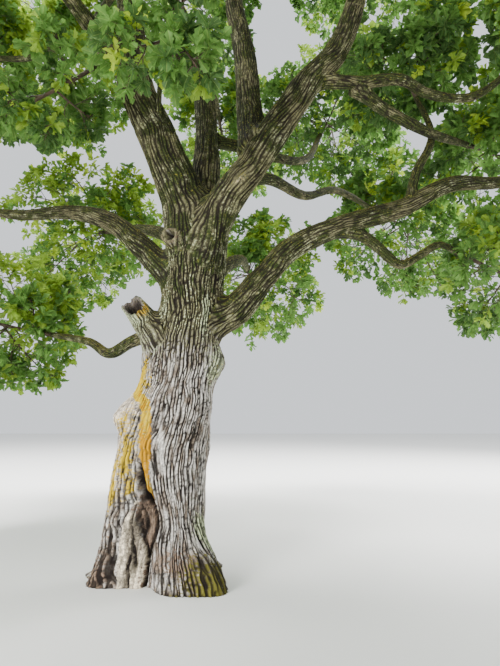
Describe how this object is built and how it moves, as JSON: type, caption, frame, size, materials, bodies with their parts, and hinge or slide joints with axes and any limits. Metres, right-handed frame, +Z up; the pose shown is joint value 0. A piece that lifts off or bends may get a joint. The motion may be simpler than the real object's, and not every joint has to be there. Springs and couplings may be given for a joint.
{
  "type": "oak tree",
  "caption": "Old open-grown oak with a leaning, hollow-footed trunk, a low fork, long crooked spreading boughs and a full leafy crown.",
  "frame": {"origin": "middle of the trunk's foot, on the flat cut at ground level", "axes": "+Z up the tree, +X to the right and +Y away as the picture sees it"},
  "size_m": [14.0194, 14.0758, 14.1005],
  "materials": {
    "trunk_bark": "rough furrowed bark",
    "bough_bark": "rough bark",
    "foliage": "satin leaves"
  },
  "bodies": {
    "root": {"trunk": "trunk_bark", "back_high_branch": "bough_bark", "back_leader": "bough_bark", "back_left_limb": "bough_bark", "back_low_limb": "bough_bark", "back_right_branch": "bough_bark", "back_top_branch": "bough_bark", "broken_stub": "bough_bark", "drooping_branch": "bough_bark", "far_right_branch": "bough_bark", "front_branch": "bough_bark", "front_left_branch": "bough_bark", "front_right_branch": "bough_bark", "front_twig": "bough_bark", "leader_side_branch": "bough_bark", "left_back_branch": "bough_bark", "left_leader": "bough_bark", "left_limb": "bough_bark", "left_twig": "bough_bark", "low_left_limb": "bough_bark", "lower_side_branch": "bough_bark", "middle_leader": "bough_bark", "right_front_branch": "bough_bark", "right_leader": "bough_bark", "right_limb": "bough_bark", "rising_branch": "bough_bark", "top_back_branch": "bough_bark", "top_front_branch": "bough_bark", "top_left_branch": "bough_bark", "upper_left_branch": "bough_bark", "upper_side_branch": "bough_bark", "back_high_branch_foliage": "foliage", "back_leader_foliage": "foliage", "back_left_limb_foliage": "foliage", "back_low_limb_foliage": "foliage", "back_right_branch_foliage": "foliage", "back_top_branch_foliage": "foliage", "drooping_branch_foliage": "foliage", "far_right_branch_foliage": "foliage", "front_branch_foliage": "foliage", "front_left_branch_foliage": "foliage", "front_right_branch_foliage": "foliage", "front_twig_foliage": "foliage", "leader_side_branch_foliage": "foliage", "left_back_branch_foliage": "foliage", "left_leader_foliage": "foliage", "left_limb_foliage": "foliage", "left_twig_foliage": "foliage", "low_left_limb_foliage": "foliage", "lower_side_branch_foliage": "foliage", "middle_leader_foliage": "foliage", "right_front_branch_foliage": "foliage", "right_leader_foliage": "foliage", "right_limb_foliage": "foliage", "rising_branch_foliage": "foliage", "top_back_branch_foliage": "foliage", "top_front_branch_foliage": "foliage", "top_left_branch_foliage": "foliage", "upper_left_branch_foliage": "foliage", "upper_side_branch_foliage": "foliage"}
  },
  "joints": []
}
